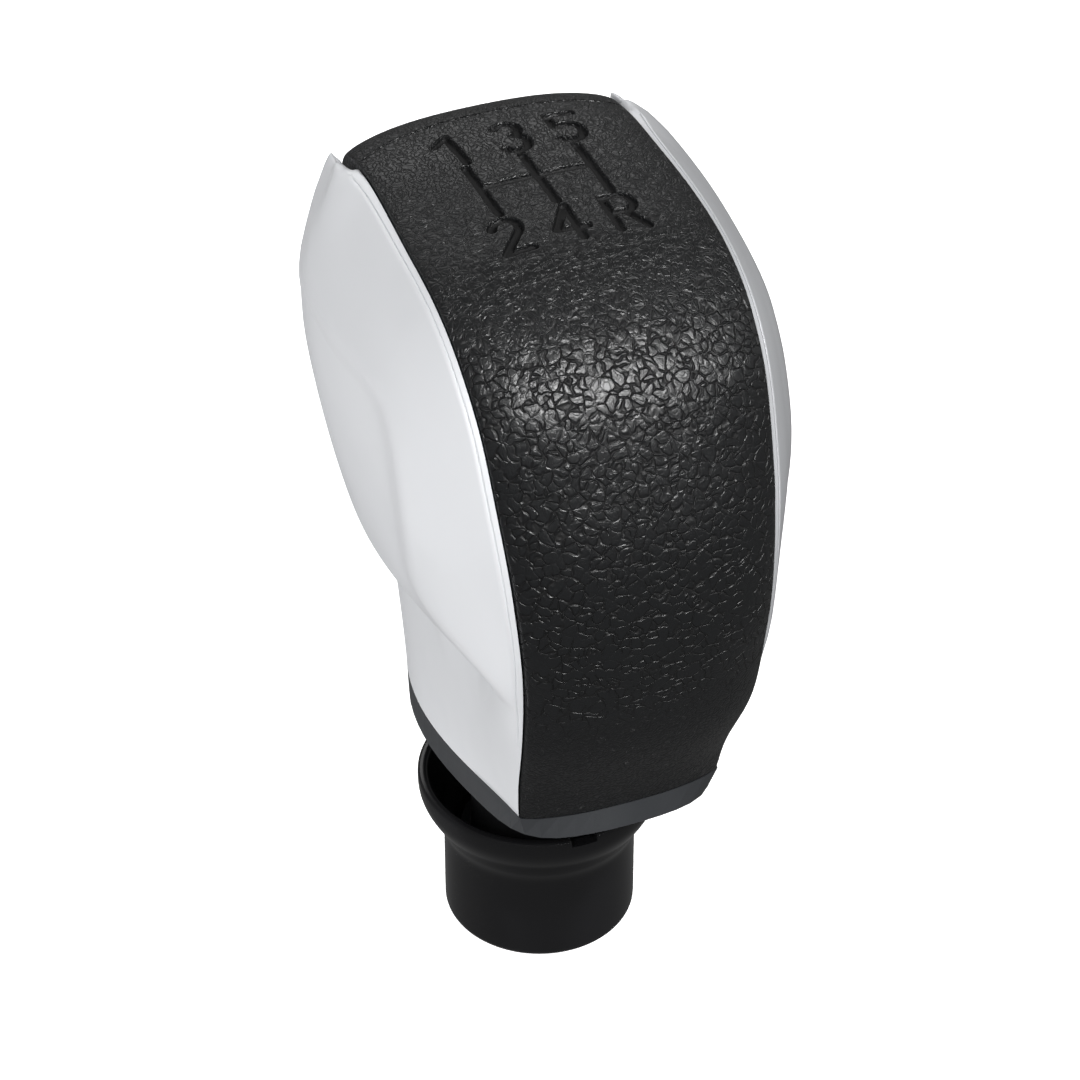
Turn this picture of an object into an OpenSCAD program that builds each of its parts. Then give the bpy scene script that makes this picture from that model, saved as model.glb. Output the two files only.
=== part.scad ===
// Gear shift knob: a grained band over a moulded core, two bright side panels, a foot ring,
// a bush that grips the lever, and a quarter-turn collar for the gaiter.
// Origin: centre of the lever bore's mouth, level with the collar's foot.
// +Z runs up the lever's axis, -Y faces the driver, X = 0 is the plane of symmetry.

/* [Head] */
// Height of the middle of the top pad above the collar's foot
head_h = 97.7; // [94.1:0.3:101.3]
// Overall width across the two side panels
head_w = 46.4; // [44.6:0.3:48.2]
// Width of the grained band from seam to seam, at the brow
band_w = 31.4; // [29:0.4:33]
// Reach of the seam in front of the lever's axis, at the belly
belly_reach = 30.3; // [28.9:0.2:31.7]
// Reach of the seam behind the lever's axis, at the back
back_reach = 20.8; // [19.8:0.2:21.8]
// How far the belly of the band stands proud of its seams
belly_crown = 3.6; // [2.6:0.2:4.6]
// How far the top pad stands proud of its seams
pad_crown = 1.9; // [1.3:0.1:2.5]
// How far the facet of a side panel bows out between its seam and its crease
facet_bow = 0.9; // [0.5:0.1:1.3]

/* [Foot] */
// Height of the foot plane above the collar's foot, on the lever's axis
foot_z = 30.7; // [30:0.1:32]
// Tilt of the foot plane, which rises towards the driver
foot_tilt = 8.5; // [6:0.5:10]
// Reach of the foot in front of the lever's axis
foot_front = 25.4; // [24.4:0.2:26.4]
// Reach of the foot behind the lever's axis
foot_back = 17.4; // [16.8:0.2:18.6]
// Width across the foot
foot_w = 27; // [26:0.5:29]

/* [Walls] */
// Thickness of the grained band
band_t = 1.6; // [1.2:0.1:2]
// Thickness of the core's outer wall
core_t = 2.2; // [1.8:0.1:2.6]
// Thickness of a side panel
panel_t = 2.4; // [2:0.1:2.8]
// Thickness of the core's middle web and ribs
web_t = 2; // [1.6:0.2:2.4]
// Width of the bevelled lip round a side panel
lip_w = 0.9; // [0.6:0.1:1.2]
// Depth of that lip
lip_d = 0.45; // [0.3:0.05:0.6]

/* [Foot ring] */
// Thickness of the foot ring's rim
ring_h = 2.9; // [2.4:0.1:3.4]
// How much wider the ring is at its lower edge, each side
ring_flare = 0.4; // [0.1:0.1:0.7]
// Height of the ring's pad under the bush's flange
pad_z = 34.4; // [33.6:0.2:35.4]
// Width of the hook at the back of the ring
hook_w = 8; // [6:0.5:10]

/* [Lever bush] */
// Diameter of the lever that the bush grips
lever_d = 12; // [11.8:0.1:12.4]
// Wall of the bush round the lever
bush_wall = 1.7; // [1.5:0.05:1.9]
// Length of the bush, from its mouth to the tips of its fingers
bush_len = 52; // [48:1:56]
// Length of the slots between the fingers
slot_len = 13; // [10:1:16]
// Width of those slots
slot_w = 1.4; // [1:0.1:1.8]
// Diameter of the bush's seating flange
flange_d = 19.2; // [18.4:0.2:19.6]
// Thickness of the bush's seating flange
flange_t = 2; // [1.6:0.2:2.4]
// Width of the spring band round the fingers
spring_w = 3; // [2.4:0.2:3.6]
// Thickness of the spring band
spring_t = 0.8; // [0.6:0.1:0.9]

/* [Gaiter collar] */
// Outer diameter of the collar's sleeve
collar_d = 21.5; // [21.1:0.1:22]
// Wall of the sleeve
collar_wall = 1.45; // [1.3:0.05:1.5]
// Height of the collar
collar_h = 19.7; // [18.7:0.1:20.7]
// Height at which the collar starts to flare
flare_z = 11; // [10:0.2:12]
// Outer diameter of the collar's rim
rim_d = 27.3; // [26.3:0.2:28.3]
// Thickness of the rim's lip
rim_t = 1.25; // [1.05:0.1:1.55]
// Radius of the edge round the collar's foot
foot_r = 1.4; // [0.8:0.1:1.4]
// Width of the alignment notch in the rim
notch_w = 3; // [2:0.2:4]
// Depth of that notch
notch_d = 0.8; // [0.5:0.1:1.2]
// Height of the bush's locking lugs
lug_h = 2.2; // [1.8:0.2:2.6]
// Angle that each locking lug spans
lug_angle = 40; // [30:2:44]
// Turn that unlocks the collar
unlock_turn = 90; // [90:1:94]

/* [Fasteners] */
// Diameter of a foot screw's shank
screw_d = 3; // [2.6:0.1:3.2]
// Length of a foot screw under its head
screw_len = 12; // [10:1:14]
// Diameter of a foot screw's head
screw_head_d = 5.4; // [4.8:0.2:5.6]
// Diameter of a side panel's snap peg
peg_d = 3; // [2.6:0.1:3.4]

/* [Hidden] */
$fn = 64;

// Clearances: band to panel, band to core, head to foot plane, turning parts, drilled holes
seam_gap = 0.15;
skin_gap = 0.1;
foot_gap = 0.1;
run_gap = 0.25;
fit_gap = 0.2;
// Overrun of a cut past the face it leaves, and a length that passes right through the knob
over = 1;
through = 100;

// Outer diameter of the bush
bush_d = lever_d + 2 * bush_wall;

// Foot seams, as half width and reach
foot_hw = foot_w / 2;
foot_rise = tan(foot_tilt);
front_seam_w = 0.845 * foot_hw;
front_seam_f = 0.915 * foot_front;
back_seam_w = 0.735 * foot_hw;
back_seam_f = -0.885 * foot_back;

// Height of the foot plane at reach f, and a height given as a share of the head
function foot_at(f) = foot_z + foot_rise * f;
function rise(share) = foot_z + share * (head_h - foot_z);
function reach(share) = share * (share > 0 ? belly_reach : back_reach);

// Smooth curve through a list of points, u counting along them
function span(a, b, c, d, t) = 0.5 * (2 * b + (c - a) * t + (2 * a - 5 * b + 4 * c - d) * t * t
    + (3 * b - 3 * c + d - a) * t * t * t);
function curve(pts, u) = let (last = len(pts) - 1, i = min(floor(u), last - 1))
    span(pts[max(i - 1, 0)], pts[i], pts[i + 1], pts[min(i + 2, last)], u - i);

// Seam loop from the front of the foot over the top to the back of the foot:
// reach, height and half width, as shares of the head
seam_shares = [
    [0.815, 0.137, 0.765], [0.940, 0.264, 0.830], [0.990, 0.391, 0.860], [1.000, 0.488, 0.892],
    [0.957, 0.615, 0.930], [0.871, 0.727, 0.962], [0.782, 0.819, 0.981], [0.673, 0.876, 0.994],
    [0.538, 0.922, 1.000], [0.350, 0.954, 1.000], [0.096, 0.967, 0.994], [-0.269, 0.973, 0.968],
    [-0.577, 0.970, 0.955], [-0.865, 0.942, 0.949], [-0.976, 0.854, 0.930], [-1.000, 0.697, 0.911],
    [-0.962, 0.458, 0.840], [-0.875, 0.219, 0.700]];
seam_pts = concat([[front_seam_f, foot_at(front_seam_f), front_seam_w]],
    [for (s = seam_shares) [reach(s.x), rise(s.y), s.z * band_w / 2]],
    [[back_seam_f, foot_at(back_seam_f), back_seam_w]]);
seam_end = len(seam_pts) - 1;
function seam(u) = curve(seam_pts, u);

// Outward direction of the loop at u, as reach and height
function seam_out(u) = let (a = seam(max(u - 0.05, 0)), b = seam(min(u + 0.05, seam_end)),
    d = [b.x - a.x, b.y - a.y]) [d.y, -d.x] / norm(d);

// Crown of the band at each seam point: foot and belly, then brow, pad and back
belly_shares = [0.86, 0.94, 1, 1, 0.96, 0.8, 0.61, 0.51];
pad_shares = [0.85, 1.15, 1, 1, 1, 1.2, 1.4, 1.4, 1.25, 1.1];
crown_pts = concat([foot_front - front_seam_f], [for (c = belly_shares) c * belly_crown],
    [for (c = pad_shares) c * pad_crown], [foot_back + back_seam_f]);
function crown(u) = curve(crown_pts, u);
function bulge(q) = pow(1 - pow(abs(q), 2.6), 0.75);

// Point of the band: u along the loop, q from -1 at the left seam to 1 at the right one,
// sunk by depth and narrowed by gap
function band_at(u, q, depth, gap) = let (s = seam(u), n = seam_out(u),
    h = crown(u) * bulge(q) - depth, x = (s.z - gap) * q, f = s.x + n.x * h)
    [x, -f, u == 0 || u == seam_end ? foot_at(f) + foot_gap : s.y + n.y * h];

// Loop stations, evenly spaced, and q stations across the band, closer together at the seams
loop_cells = 64;
loop_u = [for (i = [0 : loop_cells]) seam_end * i / loop_cells];
band_cells = 14;
core_cells = 6;
function fan(n) = [for (j = [0 : n]) sin(90 - 180 * j / n)];

// Closed shell between an outer and an inner grid of the same size
function grid_id(i, j, n) = i * n + j;
function cell(a, b, c, d) = [[a, b, c], [a, c, d]];
function shell_faces(rows, cols) = let (n = cols + 1, half = (rows + 1) * n) concat(
    [for (i = [0 : rows - 1], j = [0 : cols - 1], t = cell(grid_id(i, j, n), grid_id(i, j + 1, n),
        grid_id(i + 1, j + 1, n), grid_id(i + 1, j, n))) t],
    [for (i = [0 : rows - 1], j = [0 : cols - 1], t = cell(half + grid_id(i, j, n),
        half + grid_id(i + 1, j, n), half + grid_id(i + 1, j + 1, n), half + grid_id(i, j + 1, n))) t],
    [for (i = [0 : rows - 1], t = cell(grid_id(i, 0, n), grid_id(i + 1, 0, n),
        half + grid_id(i + 1, 0, n), half + grid_id(i, 0, n))) t],
    [for (i = [0 : rows - 1], t = cell(grid_id(i + 1, cols, n), grid_id(i, cols, n),
        half + grid_id(i, cols, n), half + grid_id(i + 1, cols, n))) t],
    [for (j = [0 : cols - 1], t = cell(grid_id(0, j + 1, n), grid_id(0, j, n),
        half + grid_id(0, j, n), half + grid_id(0, j + 1, n))) t],
    [for (j = [0 : cols - 1], t = cell(grid_id(rows, j, n), grid_id(rows, j + 1, n),
        half + grid_id(rows, j + 1, n), half + grid_id(rows, j, n))) t]);
module shell(outer, inner) {
    rows = len(outer) - 1;
    cols = len(outer[0]) - 1;
    polyhedron([for (g = [outer, inner], row = g, p = row) p], shell_faces(rows, cols));
}

// The grained band
module grained_band() {
    color("#26272a") shell(
        [for (u = loop_u) [for (q = fan(band_cells)) band_at(u, q, 0, seam_gap)]],
        [for (u = loop_u) [for (q = fan(band_cells)) band_at(u, q, band_t, seam_gap)]]);
}

// Stations of a side panel from the foot to the tip: seam places, ridge and flank.
// Ridge and flank are half width, reach and height as shares of the head.
// Half width at the widest point of the flank's arc, which stands a little past its stations
widest = 1.0036;
side_hw = head_w / 2 / widest;
function side_pt(p) = [p.x * side_hw, reach(p.y), rise(p.z)];
foot_bow = foot_hw - (front_seam_w + back_seam_w) / 2;
// Above 1, the foot is widest behind its middle
foot_skew = 1.35;
function side_arch(v) = 4 * v * (1 - v);
function foot_side(v) = let (f = front_seam_f + (back_seam_f - front_seam_f) * v)
    [front_seam_w + (back_seam_w - front_seam_w) * v + foot_bow * side_arch(pow(v, foot_skew)), f,
    foot_at(f)];
stem_top = [2.5, 17.6, side_pt([0.59, 0.66, 0.335]), side_pt([0.55, -0.20, 0.207])];
bulge_rows = [stem_top,
    [2.9, 17.3, side_pt([0.66, 0.77, 0.362]), side_pt([0.64, -0.21, 0.276])],
    [3.4, 17, side_pt([0.77, 0.64, 0.413]), side_pt([0.78, -0.28, 0.358])],
    [4, 16.6, side_pt([0.85, 0.53, 0.476]), side_pt([0.85, -0.32, 0.434])],
    [5, 15.9, side_pt([0.91, 0.55, 0.607]), side_pt([0.93, -0.36, 0.563])],
    [6.1, 15.3, side_pt([0.91, 0.48, 0.727]), side_pt([0.98, -0.43, 0.690])],
    [7.4, 14.95, side_pt([0.91, 0.38, 0.784]), side_pt([0.98, -0.48, 0.749])],
    [8.9, 14.7, side_pt([0.93, 0.24, 0.807]), side_pt([0.97, -0.53, 0.787])],
    [10.4, 14.52, side_pt([0.96, -0.08, 0.821]), side_pt([0.95, -0.61, 0.807])],
    [11.6, 14.38, side_pt([0.94, -0.43, 0.849]), side_pt([0.90, -0.70, 0.842])],
    [12.7, 14.24, side_pt([0.82, -0.61, 0.906]), side_pt([0.79, -0.84, 0.897])],
    [13.6, 14.1, side_pt([0.71, -0.74, 0.946]), side_pt([0.71, -0.91, 0.937])],
    [13.9, 14.04, side_pt([0.68, -0.83, 0.946]), side_pt([0.67, -0.94, 0.940])]];
function lane(rows, k, i) = curve([for (r = rows) r[i]], k);

// Rung of a panel through its seam points a and b, its ridge r and its flank o.
// The flank is an arc from r through o, at its middle, to b; above 1 it is fuller than a parabola.
front_cells = 5;
flank_cells = 9;
function lip_share(a, r) = min(0.3, lip_w / norm(r - a));
function facet(a, r, t) = a + (r - a) * t + [facet_bow * side_arch(t), 0, 0];
fullness = 1.35;
function flank(r, o, b, t) = let (hub = ((2 + 2 * fullness) * o - r - b) / (2 * fullness),
    w = [(1 - t) * (1 - t), 2 * fullness * t * (1 - t), t * t])
    (w[0] * r + w[1] * hub + w[2] * b) / (w[0] + w[1] + w[2]);
function sunk(u) = let (s = seam(u), n = seam_out(u)) [s.z, s.x - n.x * lip_d, s.y - n.y * lip_d];
function flat(s) = [s.z, s.x, s.y];
function rung(ua, ub, r, o) = let (a = flat(seam(ua)), b = flat(seam(ub)),
    la = lip_share(a, r), lb = lip_share(b, o) / 2) concat([sunk(ua)],
    [for (j = [0 : front_cells - 1]) facet(a, r, la + (1 - la) * j / front_cells)],
    [for (j = [0 : flank_cells]) flank(r, o, b, (1 - lb) * j / flank_cells)], [sunk(ub)]);
rung_end = front_cells + flank_cells + 2;
foot_inset = 0.025;
foot_rung = concat([sunk(0)], [for (j = [0 : rung_end - 2])
    foot_side(foot_inset + (1 - 2 * foot_inset) * j / (rung_end - 2))], [sunk(seam_end)]);
function row(k) = rung(lane(bulge_rows, k, 0), lane(bulge_rows, k, 1),
    lane(bulge_rows, k, 2), lane(bulge_rows, k, 3));

// Row of the stem at share t of its height, bent so that both ends stay on the seams
function stem_row(t) = let (top = row(0),
    ends = [sunk(t * stem_top.x), sunk(seam_end - t * (seam_end - stem_top.y))],
    da = ends.x - (foot_rung[0] * (1 - t) + top[0] * t),
    db = ends.y - (foot_rung[rung_end] * (1 - t) + top[rung_end] * t))
    [for (j = [0 : rung_end]) let (v = j / rung_end)
        foot_rung[j] * (1 - t) + top[j] * t + da * (1 - v) + db * v];
stem_cells = 5;
bulge_cells = 27;
panel_rows = concat([for (i = [0 : stem_cells - 1]) stem_row(i / stem_cells)],
    [for (i = [0 : bulge_cells]) row(i * (len(bulge_rows) - 1) / bulge_cells)]);

// Wall of the panel: each point moves towards the lever's axis, and seam points stay in their plane
heart_top = rise(0.76);
heart_f = 2;
function walled(p, w) = let (c = [w, heart_f, min(p.z, heart_top)])
    p + (c - p) * panel_t / norm(c - p);
function placed(p, on_foot) = [-p.x, -p.y, on_foot ? foot_at(p.y) + foot_gap : p.z];
row_end = len(panel_rows) - 1;
panel_outer = [for (i = [0 : row_end]) [for (p = panel_rows[i]) placed(p, i == 0)]];
panel_inner = [for (i = [0 : row_end]) let (r = panel_rows[i]) [for (j = [0 : rung_end])
    let (v = j / rung_end) placed(walled(r[j], r[0].x * (1 - v) + r[rung_end].x * v), i == 0)]];

// Snap pegs: two under the flank, as bulge row and share across it, and two under the facet.
// All stand above the bush's socket or in front of it.
peg_reach = 6;
boss_x = 10.5;
flank_pegs = [[3.2, 0.72], [4.6, 0.4]];
facet_pegs = [[2.2, 0.72], [4.4, 0.72]];
peg_spots = concat(
    [for (g = flank_pegs) let (k = g.x, b = flat(seam(lane(bulge_rows, k, 1))))
        flank(lane(bulge_rows, k, 2), lane(bulge_rows, k, 3), b, g.y)],
    [for (g = facet_pegs) let (k = g.x, a = flat(seam(lane(bulge_rows, k, 0))))
        facet(a, lane(bulge_rows, k, 2), g.y)]);
module panel() {
    shell(panel_outer, panel_inner);
    for (p = peg_spots)
        translate([-p.x + panel_t / 2, -p.y, p.z]) rotate([0, 90, 0])
            cylinder(h = p.x - panel_t / 2 - boss_x + peg_reach, d = peg_d);
}
module left_panel() {
    color("#c9cbcf") panel();
}
module right_panel() {
    color("#c9cbcf") mirror([1, 0, 0]) panel();
}

// Frames for pieces that lie in the foot plane
module at_foot() {
    translate([0, 0, foot_z]) rotate([-foot_tilt, 0, 0]) children();
}

// Core
core_top = band_t + skin_gap;
bush_gap = 0.15;
socket_wall = 2.55;
finger_room = 1.15;
socket_r = bush_d / 2 + bush_gap;
bore_roof = 2.5;
socket_top = bush_len + 1.5;
peg_wall = 1.4;
key_w = 3;
key_h = 3;
rib_inset = 1.2;
plate_z = pad_z + flange_t + foot_gap;
room_z = bush_len - slot_len - over;
screw_x = 5.6;
screw_f = 15.8;
screw_head_h = 1.8;
screw_seat_z = foot_at(screw_f) - ring_h + 1.4;
boss_wall = 1.7;
boss_z = foot_z - 2;
boss_top = screw_seat_z + screw_len + 1.5;
hook_t = 1.6;
hook_lip = 0.3;
hook_lip_h = 1;
hook_y = foot_back - core_top - core_t - 0.5;
hook_top = plate_z + web_t + foot_gap;
slot_z = foot_z - 10;
slot_top = hook_top + hook_lip_h + fit_gap;
rib_levels = [rise(0.49), rise(0.7)];
function loop_outline(depth) = [for (u = loop_u) let (p = band_at(u, 0, depth, 0)) [-p.y, p.z]];
module inner_prism(half) {
    rotate([90, 0, -90]) translate([0, 0, -half])
        linear_extrude(2 * half) polygon(loop_outline(core_top + core_t / 2));
}
module under_foot(gap) {
    at_foot() translate([-through / 2, -through / 2, gap - through]) cube(through);
}
module core_solid() {
    shell([for (u = loop_u) [for (q = fan(core_cells)) band_at(u, q, core_top, seam_gap)]],
        [for (u = loop_u) [for (q = fan(core_cells)) band_at(u, q, core_top + core_t, seam_gap)]]);
    inner_prism(web_t / 2);
    intersection() {
        inner_prism(front_seam_w - rib_inset);
        union() {
            for (z = concat(rib_levels, [plate_z]))
                translate([-through / 2, -through / 2, z]) cube([through, through, web_t]);
        }
    }
    translate([0, 0, plate_z]) cylinder(h = socket_top + bore_roof - plate_z, r = socket_r + socket_wall);
    for (s = [-1, 1])
        translate([s * screw_x, -screw_f, boss_z])
            cylinder(h = boss_top - boss_z, r = screw_d / 2 + boss_wall);
    for (s = [-1, 1], p = peg_spots)
        translate([0, -p.y, p.z]) rotate([0, s * 90, 0]) cylinder(h = boss_x, r = peg_d / 2 + peg_wall);
}
module core_body() {
    color("#3a3b3d") difference() {
        core_solid();
        under_foot(foot_gap);
        translate([0, 0, -over]) cylinder(h = plate_z + over, r = flange_d / 2 + run_gap);
        translate([0, 0, -over]) cylinder(h = socket_top + over, r = socket_r);
        translate([0, 0, room_z]) cylinder(h = socket_top - room_z, r = socket_r + finger_room);
        for (s = [-1, 1]) {
            translate([0, s * (bush_d + flange_d) / 4, plate_z])
                cube([key_w + 2 * fit_gap, (flange_d - bush_d) / 2 + over, 2 * (key_h + over)],
                    center = true);
            translate([s * screw_x, -screw_f, 0])
                cylinder(h = boss_top - over, d = screw_d + fit_gap / 2);
        }
        translate([-hook_w / 2 - fit_gap, hook_y - hook_t - fit_gap, slot_z])
            cube([hook_w + 2 * fit_gap, hook_t + fit_gap + foot_gap, slot_top - slot_z]);
        for (s = [-1, 1], p = peg_spots)
            translate([0, -p.y, p.z]) rotate([0, s * 90, 0]) translate([0, 0, boss_x - peg_reach - fit_gap])
                cylinder(h = peg_reach + over, d = peg_d + fit_gap / 2);
    }
}

// Foot ring: its top edge follows the band's foot and the panels' feet, and its lower edge is
// wider at the sides and rounder at the corners
ring_cells = 12;
side_cells = 16;
ring_fan = [for (i = [0 : ring_cells]) 2 * i / ring_cells - 1];
function band_foot(u) = [for (q = ring_fan) let (p = band_at(u, q, 0, 0)) [p.x, p.y]];
function side_foot(s) = [for (j = [1 : side_cells - 1]) let (p = foot_side(j / side_cells)) [s * p.x, -p.y]];
function reversed(list) = [for (i = [len(list) - 1 : -1 : 0]) list[i]];
foot_outline = concat(band_foot(0), side_foot(1), reversed(band_foot(seam_end)),
    reversed(side_foot(-1)));
soft_times = 6;
function softened(pts, times) = times == 0 ? pts : let (n = len(pts))
    softened([for (i = [0 : n - 1])
        (pts[(i + n - 1) % n] + 2 * pts[i] + pts[(i + 1) % n]) / 4], times - 1);
function in_foot_plane(pts, widen, level) = [for (p = pts)
    [p.x * (foot_hw + widen) / foot_hw, p.y / cos(foot_tilt), level]];
module loft(low, high) {
    n = len(low);
    side = [for (i = [0 : n - 1]) let (k = (i + 1) % n) each [[i, n + i, n + k], [i, n + k, k]]];
    polyhedron(concat(low, high),
        concat([[for (i = [0 : n - 1]) i]], [[for (i = [n - 1 : -1 : 0]) n + i]], side));
}
pad_root = foot_z - ring_h / 2;
hook_root = foot_at(-hook_y) - ring_h / 2;
module foot_ring() {
    color("#303134") difference() {
        union() {
            at_foot() loft(in_foot_plane(softened(foot_outline, soft_times), ring_flare, -ring_h),
                in_foot_plane(foot_outline, 0, 0));
            translate([0, 0, pad_root]) cylinder(h = pad_z - pad_root, d = flange_d);
            translate([-hook_w / 2, hook_y - hook_t, hook_root]) cube([hook_w, hook_t, hook_top - hook_root]);
            translate([-hook_w / 2, hook_y - hook_t, hook_top]) cube([hook_w, hook_t + hook_lip, hook_lip_h]);
        }
        translate([0, 0, -over]) cylinder(h = through, r = bush_d / 2 + foot_gap);
        for (s = [-1, 1]) {
            translate([s * screw_x, -screw_f, 0]) cylinder(h = through, d = screw_d + 2 * fit_gap);
            translate([s * screw_x, -screw_f, 0]) cylinder(h = screw_seat_z, d = screw_head_d + 2 * fit_gap);
        }
    }
}

// Foot screws
module foot_screws() {
    color("#8d9096") for (s = [-1, 1])
        translate([s * screw_x, -screw_f, screw_seat_z]) {
            cylinder(h = screw_len, d = screw_d);
            translate([0, 0, -screw_head_h]) cylinder(h = screw_head_h, d = screw_head_d);
        }
}

// Lever bush
lug_z = 5;
collar_lip_z = lug_z + lug_h + run_gap;
collar_lip_t = 1.8;
shoulder_z = collar_lip_z + collar_lip_t + run_gap;
bore_r = collar_d / 2 - collar_wall;
lug_r = bore_r - run_gap;
shoulder_h = 1.4;
groove_d = 0.5;
groove_drop = 6;
groove_z = bush_len - groove_drop;
groove_gap = 0.05;
mouth_gap = 3;
// Wedge of an angle about the X axis, wider than radius r at every side of its fan
fan_sides = 8;
fan_over = 1.4;
module sector(r, angle, h) {
    linear_extrude(h) polygon(concat([[0, 0]], [for (i = [0 : fan_sides])
        let (a = angle * (i / fan_sides - 0.5)) fan_over * r * [cos(a), sin(a)]]));
}
module lever_bush() {
    color("#d8d5cb") difference() {
        union() {
            cylinder(h = bush_len, d = bush_d);
            translate([0, 0, pad_z]) cylinder(h = flange_t, d = flange_d);
            translate([0, 0, shoulder_z]) cylinder(h = shoulder_h, r = lug_r - bush_gap);
            for (s = [0, 180])
                rotate([0, 0, s]) translate([0, 0, lug_z]) intersection() {
                    cylinder(h = lug_h, r = lug_r);
                    sector(lug_r, lug_angle, lug_h);
                }
            intersection() {
                cylinder(h = plate_z + key_h, d = flange_d);
                translate([-key_w / 2, -flange_d, pad_z])
                    cube([key_w, 2 * flange_d, plate_z + key_h - pad_z]);
            }
        }
        translate([0, 0, -over]) cylinder(h = bush_len + 2 * over, d = lever_d);
        for (a = [45, 135])
            rotate([0, 0, a]) translate([-bush_d, -slot_w / 2, bush_len - slot_len])
                cube([2 * bush_d, slot_w, slot_len + over]);
        translate([0, 0, groove_z]) difference() {
            cylinder(h = spring_w + fit_gap, d = bush_d + 2 * over);
            translate([0, 0, -over]) cylinder(h = spring_w + 3 * over, d = bush_d - 2 * groove_d);
        }
    }
}

// Spring band round the fingers, open at one side
spring_r = bush_d / 2 - groove_d + groove_gap;
module spring_band() {
    color("#a9adb3") translate([0, 0, groove_z + fit_gap / 2]) difference() {
        cylinder(h = spring_w, r = spring_r + spring_t);
        translate([0, 0, -over]) cylinder(h = spring_w + 2 * over, r = spring_r);
        translate([0, -mouth_gap / 2, -over]) cube([bush_d, mouth_gap, spring_w + 2 * over]);
    }
}

// Gaiter collar: sleeve, flare and rim turned as one profile
rim_r = rim_d / 2;
sleeve_r = collar_d / 2;
rim_h = 1.5;
rim_round = 0.5;
mouth_chamfer = 0.4;
flare_cells = 10;
function arc(cx, cy, r, a0, a1, n) = [for (i = [0 : n]) let (a = a0 + (a1 - a0) * i / n)
    [cx + r * cos(a), cy + r * sin(a)]];
function eased(t) = 3 * t * t - 2 * t * t * t;
flare_rise = collar_h - rim_h - flare_z;
function flare(t) = [sleeve_r + (rim_r - sleeve_r) * eased(t), flare_z + flare_rise * t];
funnel_z = collar_lip_z + collar_lip_t;
function funnel(t) = [bore_r + (rim_r - rim_t - bore_r) * eased(t),
    funnel_z + (collar_h - mouth_chamfer - funnel_z) * t];
lip_r = bush_d / 2 + run_gap;
collar_profile = concat([[bore_r, mouth_chamfer], [bore_r + mouth_chamfer, 0]],
    arc(sleeve_r - foot_r, foot_r, foot_r, -90, 0, 8),
    [for (i = [0 : flare_cells]) flare(i / flare_cells)],
    arc(rim_r - rim_round, collar_h - rim_round, rim_round, 0, 90, 4),
    [[rim_r - rim_t + mouth_chamfer, collar_h]],
    [for (i = [flare_cells : -1 : 0]) funnel(i / flare_cells)],
    [[lip_r, funnel_z], [lip_r, collar_lip_z], [bore_r, collar_lip_z]]);

// Stop ribs end just short of the lugs at both ends of the turn, and the entry notches let the
// lugs through the lip
stop_play = 1.5;
entry_play = 1;
wall_bite = 0.3;
stop_z = lug_z - 1;
stop_h = collar_lip_z - stop_z + fit_gap;
entry_z = collar_lip_z - over;
entry_h = collar_lip_t + 2 * over;
module gaiter_collar() {
    color("#1c1d1f") difference() {
        union() {
            rotate_extrude() polygon(collar_profile);
            for (s = [0, 180])
                rotate([0, 0, s + unlock_turn / 2]) translate([0, 0, stop_z]) difference() {
                    intersection() {
                        cylinder(h = stop_h, r = bore_r + wall_bite);
                        sector(bore_r, unlock_turn - lug_angle - 2 * stop_play, stop_h);
                    }
                    translate([0, 0, -over]) cylinder(h = stop_h + 2 * over, r = lip_r + fit_gap);
                }
        }
        for (s = [0, 180])
            rotate([0, 0, s - unlock_turn]) translate([0, 0, entry_z]) intersection() {
                cylinder(h = entry_h, r = bore_r + wall_bite / 2);
                sector(bore_r, lug_angle + 2 * entry_play, entry_h);
            }
        translate([-notch_w / 2, -rim_r - over, collar_h - notch_d])
            cube([notch_w, rim_t + 2 * over, notch_d + over]);
    }
}

core_body();
grained_band();
left_panel();
right_panel();
foot_ring();
foot_screws();
lever_bush();
spring_band();
gaiter_collar();
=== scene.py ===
"""Gear shift knob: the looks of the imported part, made around its own frame.

The head's grained band, its two bright panels and the collar are refined copies of the CAD's own
surfaces. The shift pattern is pressed into the band's pad as real relief, and the panels' crease
is raised. Every other node keeps its CAD shape, and every piece takes a procedural finish.
Lengths are in metres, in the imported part's frame.
"""
from __future__ import annotations

import logging
import math
from dataclasses import dataclass, field
from enum import Enum

import bmesh
import bpy
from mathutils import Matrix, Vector
from mathutils.kdtree import KDTree


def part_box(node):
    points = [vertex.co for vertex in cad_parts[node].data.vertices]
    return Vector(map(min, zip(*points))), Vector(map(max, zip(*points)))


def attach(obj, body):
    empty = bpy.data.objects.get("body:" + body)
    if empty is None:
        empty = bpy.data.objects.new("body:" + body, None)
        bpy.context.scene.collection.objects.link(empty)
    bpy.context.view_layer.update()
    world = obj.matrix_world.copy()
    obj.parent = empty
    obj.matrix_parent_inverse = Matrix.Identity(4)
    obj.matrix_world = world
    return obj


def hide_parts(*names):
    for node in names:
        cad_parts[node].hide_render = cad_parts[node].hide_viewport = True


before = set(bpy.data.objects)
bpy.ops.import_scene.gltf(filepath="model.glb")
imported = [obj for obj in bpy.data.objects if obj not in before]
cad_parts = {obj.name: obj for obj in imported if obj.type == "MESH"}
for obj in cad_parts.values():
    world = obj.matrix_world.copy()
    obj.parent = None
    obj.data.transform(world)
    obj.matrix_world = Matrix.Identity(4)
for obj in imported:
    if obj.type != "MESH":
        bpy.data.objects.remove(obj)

LOG = logging.getLogger("shift_knob")
MM = 0.001


def share_between(value: float, start: float, end: float) -> float:
    """Share of the way from start to end at which a value stands, held between 0 and 1."""
    return max(0.0, min(1.0, (value - start) / (end - start)))


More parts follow.
